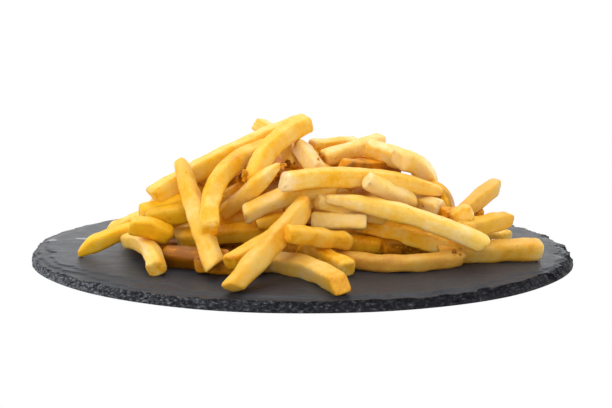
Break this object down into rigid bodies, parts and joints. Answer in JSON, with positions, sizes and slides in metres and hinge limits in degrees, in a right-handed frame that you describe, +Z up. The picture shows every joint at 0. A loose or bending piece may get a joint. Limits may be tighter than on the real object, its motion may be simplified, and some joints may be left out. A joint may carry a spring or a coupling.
{
  "type": "french fries portion on a slate plate",
  "caption": "Heap of straight-cut french fries on a thin round slate server with a knapped rim.",
  "frame": {"origin": "middle of the slate's underside", "axes": "+Z up out of the slate, -Y the front of the heap, +X to the right seen from the front"},
  "size_m": [0.2846, 0.2794, 0.0761],
  "materials": {
    "slate": "matt cleft slate, lighter dusty top, darker chipped rim",
    "fries": "fried potato: soft satin, pale gold with browner edges and ends"
  },
  "bodies": {
    "root": {"slate_plate": "slate", "fries_heap": "fries"}
  },
  "joints": []
}
